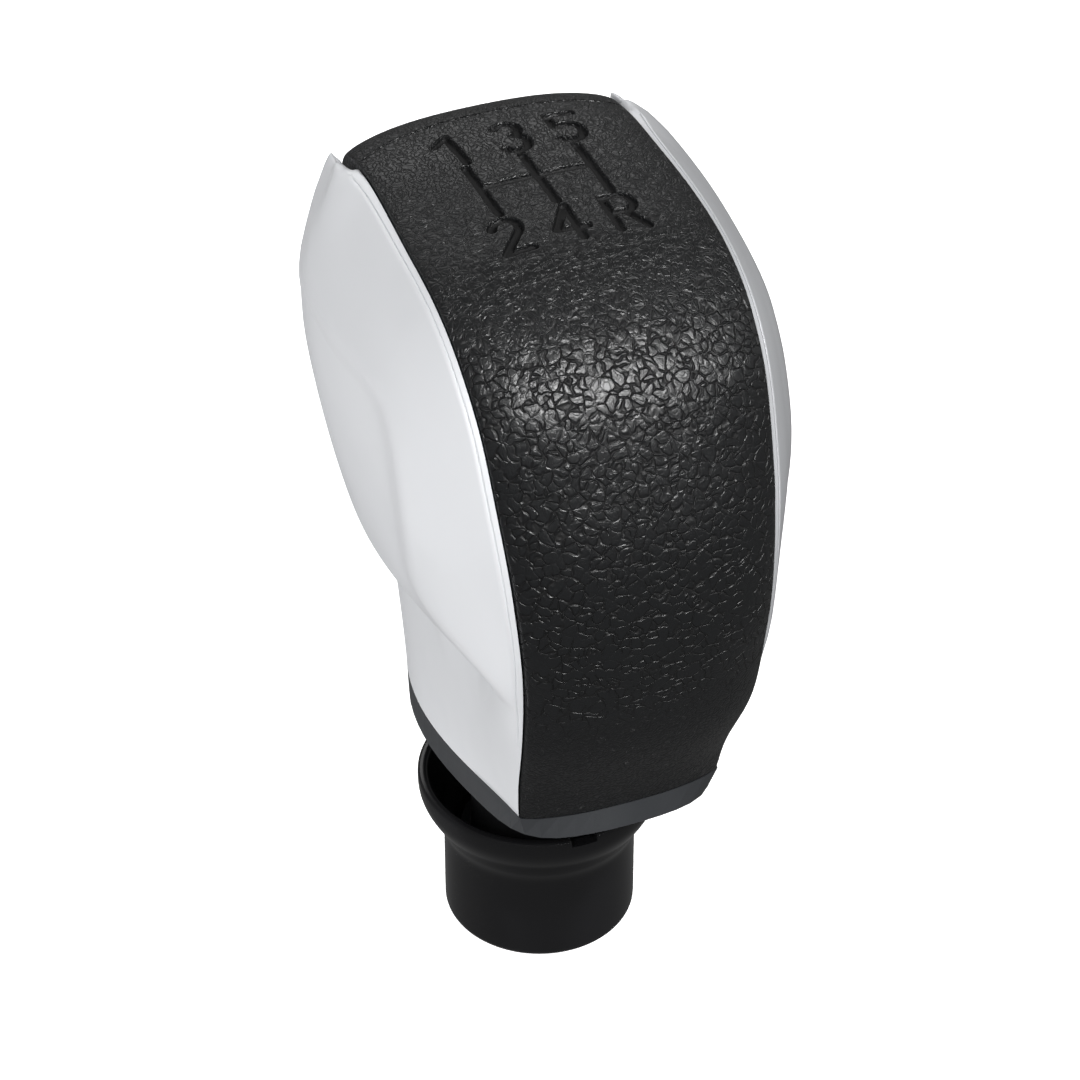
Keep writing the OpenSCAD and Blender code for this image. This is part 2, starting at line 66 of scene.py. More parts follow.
class Finish(Enum):
    """Material slots of the record, by the piece they dress."""

    CORE = "core_plastic"
    SKIN = "grained_skin"
    PANEL = "satin_plating"
    RING = "ring_plastic"
    SCREW = "zinc_steel"
    BUSH = "bush_nylon"
    SPRING = "spring_steel"
    COLLAR = "collar_plastic"


class NodeSheet:
    """Shorthand for building a material's or a group's node tree."""

    def __init__(self, tree: bpy.types.NodeTree) -> None:
        """Keeps the node tree to build in."""
        self.tree = tree

    def add(self, kind: str, **values: object) -> bpy.types.Node:
        """Adds a node and sets its properties.

        Args:
            kind: The node's type name.
            **values: Properties by name.

        Returns:
            The new node.
        """
        node = self.tree.nodes.new(kind)
        for name, value in values.items():
            setattr(node, name, value)
        return node

    def link(self, source: bpy.types.NodeSocket, target: bpy.types.NodeSocket) -> None:
        """Links one socket to another."""
        self.tree.links.new(source, target)

    def feed(self, target: bpy.types.NodeSocket, value: object) -> None:
        """Sets a socket's value, or links it if the value is a socket.

        Args:
            target: The input socket.
            value: A number, a tuple or an output socket.
        """
        if isinstance(value, bpy.types.NodeSocket):
            self.link(value, target)
        else:
            target.default_value = value

    def math(self, operation: str, first: object, second: object = 0.0) -> bpy.types.NodeSocket:
        """Adds a Math node.

        Args:
            operation: The node's operation.
            first: Its first input, a number or a socket.
            second: Its second input.

        Returns:
            The node's result.
        """
        node = self.add("ShaderNodeMath", operation=operation)
        self.feed(node.inputs[0], first)
        self.feed(node.inputs[1], second)
        return node.outputs[0]

    def scaled(self, vector: object, factor: object) -> bpy.types.NodeSocket:
        """Multiplies a vector by a number.

        Args:
            vector: The vector's socket.
            factor: The number, or a socket.

        Returns:
            The scaled vector.
        """
        node = self.add("ShaderNodeVectorMath", operation="SCALE")
        self.feed(node.inputs[0], vector)
        self.feed(node.inputs["Scale"], factor)
        return node.outputs[0]

    def noise(self, vector: object, scale: float, detail: float = 3.0) -> bpy.types.NodeSocket:
        """Adds a Noise texture.

        Args:
            vector: The socket that gives the place.
            scale: Cycles a metre.
            detail: Octaves of the noise.

        Returns:
            The noise as a value around 0.5.
        """
        node = self.add("ShaderNodeTexNoise")
        self.feed(node.inputs["Vector"], vector)
        node.inputs["Scale"].default_value = scale
        node.inputs["Detail"].default_value = detail
        return node.outputs["Fac"]

    def spread(self, value: object, low: float, high: float, to_low: float,
               to_high: float) -> bpy.types.NodeSocket:
        """Maps a value from one range to another, held at both ends.

        Args:
            value: The value to map.
            low: Start of its range.
            high: End of its range.
            to_low: Result at the start.
            to_high: Result at the end.

        Returns:
            The mapped value.
        """
        node = self.add("ShaderNodeMapRange", clamp=True, interpolation_type="SMOOTHSTEP")
        self.feed(node.inputs["Value"], value)
        limits = {"From Min": low, "From Max": high, "To Min": to_low, "To Max": to_high}
        for name, number in limits.items():
            node.inputs[name].default_value = number
        return node.outputs["Result"]

    def blend(self, share: object, first: object, second: object) -> bpy.types.NodeSocket:
        """Mixes two colours.

        Args:
            share: How much of the second colour shows.
            first: The first colour, a tuple or a socket.
            second: The second colour.

        Returns:
            The mixed colour.
        """
        node = self.add("ShaderNodeMix", data_type="RGBA")
        self.feed(node.inputs["Factor"], share)
        self.feed(node.inputs[6], first)
        self.feed(node.inputs[7], second)
        return node.outputs[2]


@dataclass(frozen=True)
class PebbleLayer:
    """One layer of the grain's pebbles, parted by wrinkles.

    Attributes:
        scale: How many of its pebbles stand in a cell's length.
        wrinkle: Half width of a wrinkle, in its own pebbles.
        fine: Weight of the layer where the grain is fine.
        coarse: Weight of it where the grain is coarse.
    """

    scale: float
    wrinkle: float
    fine: float
    coarse: float


@dataclass(frozen=True)
class LeatherGrain:
    """Leather grain: soft pebbles parted by wandering wrinkles that fade in and out.

    Scales are in cycles a cell, heights in shares of the relief.

    Attributes:
        layers: The coarse pebbles, then the fine ones.
        stir: Scale and detail of the noise that makes the wrinkles wander.
        stir_span: Span over which it moves them at a wander of 1, in cells.
        fade_scale: Scale of the noise in which the coarse wrinkles fade.
        fade: Values of that noise between which they come back.
        faded: Share of a wrinkle left where it is faded.
        dome: Distance from a wrinkle at which a pebble has its full height.
        swell: Height of the pebbles.
        tooth_scale: Scale of the fine tooth on them.
        tooth: Height of the tooth.
    """

    layers: tuple[PebbleLayer, PebbleLayer] = (PebbleLayer(1.0, 0.14, 0.10, 1.0),
                                               PebbleLayer(2.3, 0.16, 0.6, 0.08))
    stir: tuple[float, float] = (0.95, 0.3)
    stir_span: float = 4.0
    fade_scale: float = 0.8
    fade: tuple[float, float] = (0.36, 0.5)
    faded: float = 0.25
    dome: float = 0.45
    swell: float = 0.16
    tooth_scale: float = 5.0
    tooth: float = 0.04


class EffectShelf:
    """Node groups that the finishes share, each built once.

    Attributes:
        SMEARS: Values of the haze's slow waves between which smears of handling appear.
    """

    SMEARS = (0.45, 0.7)

    def __init__(self) -> None:
        """Builds the groups."""
        self.grain = self._grain(LeatherGrain())
        self.haze = self._haze()

    @staticmethod
    def _group(name: str, inputs: dict[str, float], outputs: tuple[str, ...]) -> bpy.types.NodeTree:
        """Makes an empty group with a place input, numbers and outputs.

        Args:
            name: The group's name.
            inputs: Its numbers, with their usual values.
            outputs: The names of its results.

        Returns:
            The group's tree.
        """
        tree = bpy.data.node_groups.new(name, "ShaderNodeTree")
        tree.interface.new_socket("Place", in_out="INPUT", socket_type="NodeSocketVector")
        for title, value in inputs.items():
            socket = tree.interface.new_socket(title, in_out="INPUT", socket_type="NodeSocketFloat")
            socket.default_value = value
        for title in outputs:
            tree.interface.new_socket(title, in_out="OUTPUT", socket_type="NodeSocketFloat")
        return tree

    def _grain(self, shape: LeatherGrain) -> bpy.types.NodeTree:
        """Builds the leather grain.

        Args:
            shape: The grain's numbers.

        Returns:
            The group, which gives the relief's height and the wrinkles' mask.
        """
        tree = self._group("leather_grain", {"Cell": 0.0012, "Wander": 0.3, "Coarse": 1.0},
                           ("Height", "Wrinkles"))
        sheet = NodeSheet(tree)
        given = sheet.add("NodeGroupInput")
        result = sheet.add("NodeGroupOutput")
        cells = sheet.scaled(given.outputs["Place"],
                             sheet.math("DIVIDE", 1.0, given.outputs["Cell"]))
        stir = sheet.add("ShaderNodeTexNoise")
        sheet.link(cells, stir.inputs["Vector"])
        stir.inputs["Scale"].default_value, stir.inputs["Detail"].default_value = shape.stir
        centred = sheet.add("ShaderNodeVectorMath", operation="SUBTRACT")
        sheet.link(stir.outputs["Color"], centred.inputs[0])
        centred.inputs[1].default_value = (0.5, 0.5, 0.5)
        shift = sheet.scaled(centred.outputs[0],
                             sheet.math("MULTIPLY", given.outputs["Wander"], shape.stir_span))
        moved = sheet.add("ShaderNodeVectorMath", operation="ADD")
        sheet.link(cells, moved.inputs[0])
        sheet.link(shift, moved.inputs[1])
        fade = sheet.noise(cells, shape.fade_scale, 0.0)
        kept = sheet.spread(fade, *shape.fade, shape.faded, 1.0)
        wrinkles, domes = [], []
        for layer in shape.layers:
            pebbles = sheet.add("ShaderNodeTexVoronoi", feature="DISTANCE_TO_EDGE")
            sheet.link(moved.outputs[0], pebbles.inputs["Vector"])
            pebbles.inputs["Scale"].default_value = layer.scale
            away = pebbles.outputs["Distance"]
            weight = sheet.spread(given.outputs["Coarse"], 0.0, 1.0, layer.fine, layer.coarse)
            wrinkle = sheet.spread(away, 0.0, layer.wrinkle, 1.0, 0.0)
            wrinkles.append(sheet.math("MULTIPLY", wrinkle, weight))
            dome = sheet.spread(away, 0.0, shape.dome, 0.0, 1.0)
            domes.append(sheet.math("MULTIPLY", dome, weight))
        depth = sheet.math("MAXIMUM", sheet.math("MULTIPLY", wrinkles[0], kept), wrinkles[1])
        tooth = sheet.math("MULTIPLY", sheet.noise(cells, shape.tooth_scale, 0.0), shape.tooth)
        swell = sheet.math("MULTIPLY", sheet.math("ADD", domes[0], domes[1]), shape.swell)
        height = sheet.math("ADD", sheet.math("SUBTRACT", swell, depth), tooth)
        sheet.link(height, result.inputs["Height"])
        sheet.link(depth, result.inputs["Wrinkles"])
        return tree

    def _haze(self) -> bpy.types.NodeTree:
        """Builds the haze of a moulded or plated surface: slow waves, fine tooth and smears.

        Returns:
            The group, which gives a height and a mask of the smears.
        """
        tree = self._group("surface_haze",
                           {"Wave Scale": 60.0, "Tooth Scale": 4000.0, "Tooth": 0.3},
                           ("Height", "Smears"))
        sheet = NodeSheet(tree)
        given = sheet.add("NodeGroupInput")
        result = sheet.add("NodeGroupOutput")
        wave = sheet.add("ShaderNodeTexNoise")
        tooth = sheet.add("ShaderNodeTexNoise")
        for node, scale in ((wave, "Wave Scale"), (tooth, "Tooth Scale")):
            sheet.link(given.outputs["Place"], node.inputs["Vector"])
            sheet.link(given.outputs[scale], node.inputs["Scale"])
        fine = sheet.math("MULTIPLY", tooth.outputs["Fac"], given.outputs["Tooth"])
        sheet.link(sheet.math("ADD", wave.outputs["Fac"], fine), result.inputs["Height"])
        smears = sheet.spread(wave.outputs["Fac"], *self.SMEARS, 0.0, 1.0)
        sheet.link(smears, result.inputs["Smears"])
        return tree


@dataclass(frozen=True)
class MouldedFinish:
    """Plastic, plating or metal with a haze, worn slightly by handling.

    Attributes:
        slot: The record's slot.
        colour: Base colour, linear.
        worn: Colour where it is handled.
        rough: Lowest and highest roughness.
        metal: Metallic share.
        bump: Height of the haze's relief, in metres.
        shine: Specular level.
        wave: Scale of the haze's slow waves, in cycles a metre.
        tooth: Share of the fine tooth in the relief.
    """

    slot: Finish
    colour: tuple[float, float, float]
    worn: tuple[float, float, float]
    rough: tuple[float, float]
    metal: float = 0.0
    bump: float = 0.02 * MM
    shine: float = 0.5
    wave: float = 60.0
    tooth: float = 0.3

    def build(self, shelf: EffectShelf) -> bpy.types.Material:
        """Makes the material.

        Args:
            shelf: The shared effects.

        Returns:
            The material.
        """
        material = bpy.data.materials.new(self.slot.value)
        material.use_nodes = True
        sheet = NodeSheet(material.node_tree)
        shader = material.node_tree.nodes["Principled BSDF"]
        place = sheet.add("ShaderNodeTexCoord")
        haze = sheet.add("ShaderNodeGroup", node_tree=shelf.haze)
        sheet.link(place.outputs["Object"], haze.inputs["Place"])
        haze.inputs["Wave Scale"].default_value = self.wave
        haze.inputs["Tooth"].default_value = self.tooth
        smears = haze.outputs["Smears"]
        colour = sheet.blend(smears, (*self.colour, 1.0), (*self.worn, 1.0))
        sheet.link(colour, shader.inputs["Base Color"])
        sheet.link(sheet.spread(smears, 0.0, 1.0, *self.rough), shader.inputs["Roughness"])
        bump = sheet.add("ShaderNodeBump")
        bump.inputs["Distance"].default_value = self.bump
        sheet.link(haze.outputs["Height"], bump.inputs["Height"])
        sheet.link(bump.outputs["Normal"], shader.inputs["Normal"])
        shader.inputs["Metallic"].default_value = self.metal
        shader.inputs["Specular IOR Level"].default_value = self.shine
        return material


@dataclass(frozen=True)
class SkinFinish:
    """Black grained skin, coarse on the belly and fine low down and behind the pad.

    Attributes:
        colour: Colour of the pebbles, linear.
        painted_valley_shade: Painted shade, a darker colour down in the wrinkles and the pressed
            lines.
        rough: Roughness on the pebbles and in the wrinkles.
        cell: Size of a pebble on the belly, in metres.
        wander: How far the wrinkles wander, in pebbles.
        relief: Height of the coarse grain, in metres.
        pressed_rough: Roughness at the bottom of a pressed line.
        shine: Specular level.
        belly: Heights between which the grain turns from fine to coarse.
        front: Places along y between which it does, towards the driver.
        pad: Heights between which it turns finer again, over the brow.
        pad_coarse: Share of the coarse grain left on the pad.
        handling_scale: Scale of the unevenness that handling leaves, in cycles a metre.
        handling: Roughness between its lowest and highest.
    """

    colour: tuple[float, float, float] = (0.0045, 0.0049, 0.0054)
    painted_valley_shade: tuple[float, float, float] = (0.002, 0.002, 0.0022)
    rough: tuple[float, float] = (0.35, 0.6)
    cell: float = 1.15 * MM
    wander: float = 0.25
    relief: float = 0.135 * MM
    pressed_rough: float = 0.9
    shine: float = 0.8
    belly: tuple[float, float] = (0.040, 0.062)
    front: tuple[float, float] = (0.010, -0.002)
    pad: tuple[float, float] = (0.0905, 0.0935)
    pad_coarse: float = 0.5
    handling_scale: float = 55.0
    handling: float = 0.12

    def build(self, shelf: EffectShelf) -> bpy.types.Material:
        """Makes the material.

        Args:
            shelf: The shared effects.

        Returns:
            The material.
        """
        material = bpy.data.materials.new(Finish.SKIN.value)
        material.use_nodes = True
        sheet = NodeSheet(material.node_tree)
        shader = material.node_tree.nodes["Principled BSDF"]
        place = sheet.add("ShaderNodeTexCoord").outputs["Object"]
        split = sheet.add("ShaderNodeSeparateXYZ")
        sheet.link(place, split.inputs[0])
        up = sheet.spread(split.outputs["Z"], *self.belly, 0.0, 1.0)
        front = sheet.spread(split.outputs["Y"], *self.front, 0.0, 1.0)
        over = sheet.spread(split.outputs["Z"], *self.pad, 1.0, self.pad_coarse)
        coarse = sheet.math("MULTIPLY", sheet.math("MULTIPLY", up, front), over)
        grain = sheet.add("ShaderNodeGroup", node_tree=shelf.grain)
        sheet.link(place, grain.inputs["Place"])
        grain.inputs["Cell"].default_value = self.cell
        grain.inputs["Wander"].default_value = self.wander
        sheet.link(coarse, grain.inputs["Coarse"])
        height, wrinkles = grain.outputs["Height"], grain.outputs["Wrinkles"]
        pressed = sheet.add("ShaderNodeAttribute", attribute_name=ShiftPattern.MASK).outputs["Fac"]
        # Painted shade: the wrinkles and the pressed lines take a darker colour, standing in for
        # the shade in them.
        painted_shade = sheet.math("MAXIMUM", wrinkles, pressed)
        colour = sheet.blend(painted_shade, (*self.colour, 1.0), (*self.painted_valley_shade, 1.0))
        sheet.link(colour, shader.inputs["Base Color"])
        base = sheet.math("MAXIMUM", sheet.spread(wrinkles, 0.0, 1.0, *self.rough),
                          sheet.math("MULTIPLY", pressed, self.pressed_rough))
        handled = sheet.math("MULTIPLY", sheet.noise(place, self.handling_scale), self.handling)
        uneven = sheet.math("SUBTRACT", handled, self.handling / 2)
        sheet.link(sheet.math("ADD", base, uneven), shader.inputs["Roughness"])
        smooth = sheet.math("SUBTRACT", 1.0, pressed)
        bump = sheet.add("ShaderNodeBump")
        bump.inputs["Distance"].default_value = self.relief
        sheet.link(sheet.math("MULTIPLY", height, smooth), bump.inputs["Height"])
        sheet.link(bump.outputs["Normal"], shader.inputs["Normal"])
        shader.inputs["Specular IOR Level"].default_value = self.shine
        return material


@dataclass(frozen=True)
class Groove:
    """One straight piece of a pressed line.

    Attributes:
        start: Its start, x and y of the frame, in metres.
        end: Its end.
        wide: Its width, in metres.
        deep: Its depth, in metres.
        TINY: Least squared length that counts, for a piece whose ends meet.
    """

    TINY = 1e-12
    start: Vector
    end: Vector
    wide: float
    deep: float

    def distance(self, p: Vector) -> float:
        """Distance from a point to the middle of the line.

        Args:
            p: The point, x and y of the frame.

        Returns:
            The distance in metres.
        """
        run = self.end - self.start
        t = share_between((p - self.start).dot(run), 0.0, max(run.length_squared, self.TINY))
        return (p - self.start - run * t).length


@dataclass
class ShiftPattern:
    """The five-speed pattern pressed into the pad, and the fold along the pad's back edge.

    Places are in millimetres on the pad, x to the right and f towards the driver.

    Attributes:
        stroke: Width of a pressed line.
        depth: Depth of it.
        wall: Width of its sloping side.
        gate_x: Places of the three gate lines.
        gate_lean: How far a gate line leans to the right towards its front end.
        gate_f: Their back and front ends.
        bar_f: Place of the crossbar.
        glyph_h: Height of a digit.
        back_row: Back edge of the row behind the gate.
        front_row: Back edge of the row in front of it.
        fold: Points of the fold on the right half, mirrored for the left.
        fold_width: Width of the fold.
        fold_depth: Depth of it.
        MASK: Name of the band's attribute that marks what is pressed.
        ARC_STEPS: Straight pieces in an arc of a glyph.
        FINER: Distances from a line within which faces are made finer, a step each.
        FACE_UP: Least upward share of the normal of a face of the pad.
        VERT_UP: Least such share at a vertex that is pressed.
    """

    MASK = "pressed_line"
    ARC_STEPS = 10
    FINER = (1.5 * MM, 0.8 * MM)
    FACE_UP = 0.6
    VERT_UP = 0.5
    stroke: float = 0.92
    depth: float = 0.7
    wall: float = 0.18
    gate_x: tuple[float, float, float] = (-5.75, 0.5, 6.5)
    gate_lean: float = 0.4
    gate_f: tuple[float, float] = (-5.5, 3.1)
    bar_f: float = -1.7
    glyph_h: float = 5.4
    back_row: float = -11.8
    front_row: float = 4.1
    fold: tuple[tuple[float, float], ...] = (
        (0.0, -15.3), (5.0, -15.2), (10.5, -14.6), (14.3, -13.6))
    fold_width: float = 0.3
    fold_depth: float = 0.22

    @classmethod
    def _arc(cls, x: float, y: float, r: float, start: float,
             end: float) -> list[tuple[float, float]]:
        """Points of an arc in a glyph's own unit box.

        Args:
            x: Centre across.
            y: Centre up.
            r: Radius.
            start: First angle in degrees.
            end: Last angle in degrees.

        Returns:
            The points.
        """
        angles = [math.radians(start + (end - start) * i / cls.ARC_STEPS)
                  for i in range(cls.ARC_STEPS + 1)]
        return [(x + r * math.cos(a), y + r * math.sin(a)) for a in angles]

    def glyphs(self) -> dict[str, list[list[tuple[float, float]]]]:
        """Strokes of each sign, in a box one unit high with its middle at 0 across.

        Returns:
            The strokes by sign.
        """
        arc = self._arc
        return {
            "1": [[(-0.33, 0.76), (-0.02, 1.0), (0.06, 0.0)]],
            "2": [arc(-0.02, 0.73, 0.26, 170, -35) + [(-0.27, 0.02), (0.28, 0.04)]],
            "3": [arc(-0.02, 0.75, 0.24, 150, -75), arc(-0.02, 0.27, 0.27, 78, -150)],
            "4": [[(0.12, 0.0), (0.1, 1.0), (-0.3, 0.32), (0.3, 0.28)]],
            "5": [[(0.3, 1.0), (-0.2, 1.0), (-0.22, 0.58)] + arc(0.0, 0.31, 0.29, 125, -140)],
            "R": [[(-0.24, 0.0), (-0.26, 1.0), (0.04, 1.0)] + arc(0.04, 0.75, 0.25, 90, -90)
                  + [(-0.25, 0.5)], [(0.02, 0.5), (0.32, 0.0)]],
        }

    def grooves(self) -> list[Groove]:
        """Every pressed line, as straight pieces on the pad.

        Returns:
            The pieces.
        """
        found: list[Groove] = []

        def lay(points: list[tuple[float, float]], wide: float, deep: float) -> None:
            """Adds a chain of points given as x and f in millimetres."""
            chain = [Vector((x * MM, -f * MM)) for x, f in points]
            found.extend(Groove(a, b, wide * MM, deep * MM) for a, b in zip(chain, chain[1:]))

        back, front = self.gate_f
        for x in self.gate_x:
            lay([(x - self.gate_lean / 2, back), (x + self.gate_lean / 2, front)],
                self.stroke, self.depth)
        lay([(self.gate_x[0], self.bar_f), (self.gate_x[2], self.bar_f)], self.stroke, self.depth)
        for top, signs in ((self.back_row, "135"), (self.front_row, "24R")):
            for x, sign in zip(self.gate_x, signs):
                for stroke in self.glyphs()[sign]:
                    lay([(x + u * self.glyph_h, top + (1.0 - v) * self.glyph_h) for u, v in stroke],
                        self.stroke, self.depth)
        for side in (-1.0, 1.0):
            lay([(side * x, f) for x, f in self.fold], self.fold_width, self.fold_depth)
        return found

    def carve(self, bm: bmesh.types.BMesh, floor: float) -> int:
        """Presses the lines into the pad: finer faces along them, then their vertices go down.

        Args:
            bm: The band's mesh.
            floor: Lowest height of what counts as the pad's outer face.

        Returns:
            The number of vertices pressed.
        """
        grooves = self.grooves()
        layer = bm.verts.layers.float.new(self.MASK)
        wall = self.wall * MM
        for reach in self.FINER:
            bm.normal_update()
            near = [f for f in bm.faces
                    if f.normal.z > self.FACE_UP and f.calc_center_median().z > floor
                    and any(g.distance(f.calc_center_median().xy) < reach for g in grooves)]
            bmesh.ops.subdivide_edges(bm, edges=list({e for f in near for e in f.edges}), cuts=1,
                                      use_grid_fill=True)
        bm.normal_update()
        count = 0
        for vert in bm.verts:
            if vert.co.z < floor or vert.normal.z < self.VERT_UP:
                continue
            drop = 0.0
            for groove in grooves:
                inside = groove.wide / 2 + wall / 2 - groove.distance(vert.co.xy)
                t = share_between(inside, 0.0, wall)
                drop = max(drop, t * t * (3.0 - 2.0 * t) * groove.deep)
            if drop > 0.0:
                vert.co -= vert.normal * drop
                vert[layer] = drop / (self.depth * MM)
                count += 1
        return count


@dataclass(frozen=True)
class HardEdges:
    """Which edges of a copy stay hard when it is refined, by how far their faces turn.

    Attributes:
        sharp: Turn in degrees above which an edge stays hard.
        soft: Turn above which it is kept partly.
        strength: Crease of those edges.
    """

    sharp: float
    soft: float
    strength: float


class NodeCopy:
    """A merged, smoothed copy of a CAD node that stands for it.

    Attributes:
        MERGE: Distance within which the CAD's loose vertices are one, in metres.
        FLAT: Most turn between two triangles that are joined, in degrees.
        SKEW: Most that the corners of a joined face may differ from square, in degrees.
        OUTWARD: Least sideward share of the normal of the outer face.
        SMOOTH: Turn in degrees up to which the finished copy is shaded smooth.
    """

    MERGE = 2e-6
    FLAT = 30.0
    SKEW = 50.0
    OUTWARD = 0.15
    SMOOTH = 42.0

    def __init__(self, node: str, piece: str, finish: Finish) -> None:
        """Copies the node's mesh.

        Args:
            node: The CAD node.
            piece: The new piece's name.
            finish: The slot it is meant for; not used, as stand_in gives the material.
        """
        self.node = node
        self.finish = finish
        mesh = bpy.data.meshes.new(piece)
        bm = bmesh.new()
        bm.from_mesh(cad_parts[node].data)
        bmesh.ops.remove_doubles(bm, verts=bm.verts, dist=self.MERGE)
        bmesh.ops.join_triangles(bm, faces=bm.faces, angle_face_threshold=math.radians(self.FLAT),
                                 angle_shape_threshold=math.radians(self.SKEW))
        bm.to_mesh(mesh)
        bm.free()
        self.object = bpy.data.objects.new(piece, mesh)
        bpy.context.scene.collection.objects.link(self.object)

    def crease(self, rule: HardEdges) -> None:
        """Gives the edges a crease by how far their faces turn.

        Args:
            rule: Which edges stay hard.
        """
        bm = bmesh.new()
        bm.from_mesh(self.object.data)
        layers = bm.edges.layers.float
        layer = layers.get("crease_edge") or layers.new("crease_edge")
        for edge in bm.edges:
            turn = math.degrees(edge.calc_face_angle(0.0))
            edge[layer] = 1.0 if turn > rule.sharp else rule.strength if turn > rule.soft else 0.0
        bm.to_mesh(self.object.data)
        bm.free()

    def groove_edges(self, turns: tuple[float, float], side: float, within: float, wide: float,
                     deep: float) -> int:
        """Cuts a fine groove along the edges of the outer face that turn by a given angle.

        Args:
            turns: Least and most turn of such an edge, in degrees.
            side: The side the outer face looks to, -1 or 1.
            within: Farthest such an edge lies from the plane of symmetry, in metres.
            wide: Half width of the groove, in metres.
            deep: Depth of the groove, in metres.

        Returns:
            The number of edges grooved.
        """
        bm = bmesh.new()
        bm.from_mesh(self.object.data)
        bm.normal_update()
        low, high = (math.radians(turn) for turn in turns)
        picked = [e for e in bm.edges if len(e.link_faces) == 2 and e.is_convex
                  and low < e.calc_face_angle(0.0) < high
                  and all(abs(v.co.x) < within for v in e.verts)
                  and all(f.normal.x * side > self.OUTWARD for f in e.link_faces)]
        made = bmesh.ops.bevel(bm, geom=picked, affect="EDGES", offset=wide, offset_type="OFFSET",
                               segments=2, profile=0.5, material=-1, clamp_overlap=True)
        strip = set(made["faces"])
        bm.normal_update()
        for vert in made["verts"]:
            if vert.is_valid and set(vert.link_faces) <= strip:
                vert.co -= vert.normal * deep
        bm.to_mesh(self.object.data)
        bm.free()
        return len(picked)

    def ease(self, centre: Vector, reach: float, times: int) -> None:
        """Rounds the copy near a place.

        Args:
            centre: The place.
            reach: Radius of what is rounded, in metres.
            times: Steps of smoothing.
        """
        bm = bmesh.new()
        bm.from_mesh(self.object.data)
        near = [v for v in bm.verts if (v.co - centre).length < reach]
        for _ in range(times):
            bmesh.ops.smooth_vert(bm, verts=near, factor=0.5, use_axis_x=True, use_axis_y=True,
                                  use_axis_z=True)
        bm.to_mesh(self.object.data)
        bm.free()

    def refine(self, levels: int) -> None:
        """Subdivides the copy and keeps the result as its mesh.

        Args:
            levels: Steps of subdivision.
        """
        modifier = self.object.modifiers.new("refine", "SUBSURF")
        modifier.levels = modifier.render_levels = levels
        shown = self.object.evaluated_get(bpy.context.evaluated_depsgraph_get())
        mesh = bpy.data.meshes.new_from_object(shown)
        self.object.modifiers.clear()
        self.object.data = mesh

    def stand_in(self, body: str, material: bpy.types.Material) -> None:
        """Dresses the copy and lets it stand for its node.

        Args:
            body: The body it rides on.
            material: Its finish.
        """
        self.object.data.materials.clear()
        self.object.data.materials.append(material)
        self.object.data.shade_smooth()
        self.object.data.set_sharp_from_angle(angle=math.radians(self.SMOOTH))
        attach(self.object, body)
        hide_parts(self.node)
        LOG.info("%s stands for %s with %d faces", self.object.name, self.node,
                 len(self.object.data.polygons))


@dataclass
class GrainedBand:
    """The skin over the belly, the pad and the back, with the pressed pattern.

    Attributes:
        pattern: The shift pattern.
        pad_share: Share of the band's height above which the pad starts.
        edges: Which of its edges stay hard.
        levels: Steps of its refinement.
    """

    pattern: ShiftPattern = field(default_factory=ShiftPattern)
    pad_share: float = 0.93
    edges: HardEdges = HardEdges(60.0, 40.0, 0.6)
    levels: int = 2

    def build(self, material: bpy.types.Material) -> None:
        """Makes the band.

        Args:
            material: The skin's finish.
        """
        copy = NodeCopy("grained_band", "grained_skin_band", Finish.SKIN)
        copy.crease(self.edges)
        copy.refine(self.levels)
        low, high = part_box("grained_band")
        floor = low.z + (high.z - low.z) * self.pad_share
        bm = bmesh.new()
        bm.from_mesh(copy.object.data)
        bm.normal_update()
        pad = [f for f in bm.faces
               if f.calc_center_median().z > floor and f.normal.z > self.pattern.FACE_UP]
        bmesh.ops.subdivide_edges(bm, edges=list({e for f in pad for e in f.edges}), cuts=1,
                                  use_grid_fill=True)
        pressed = self.pattern.carve(bm, floor)
        bm.to_mesh(copy.object.data)
        bm.free()
        LOG.info("pressed %d vertices of the pattern", pressed)
        copy.stand_in("knob", material)


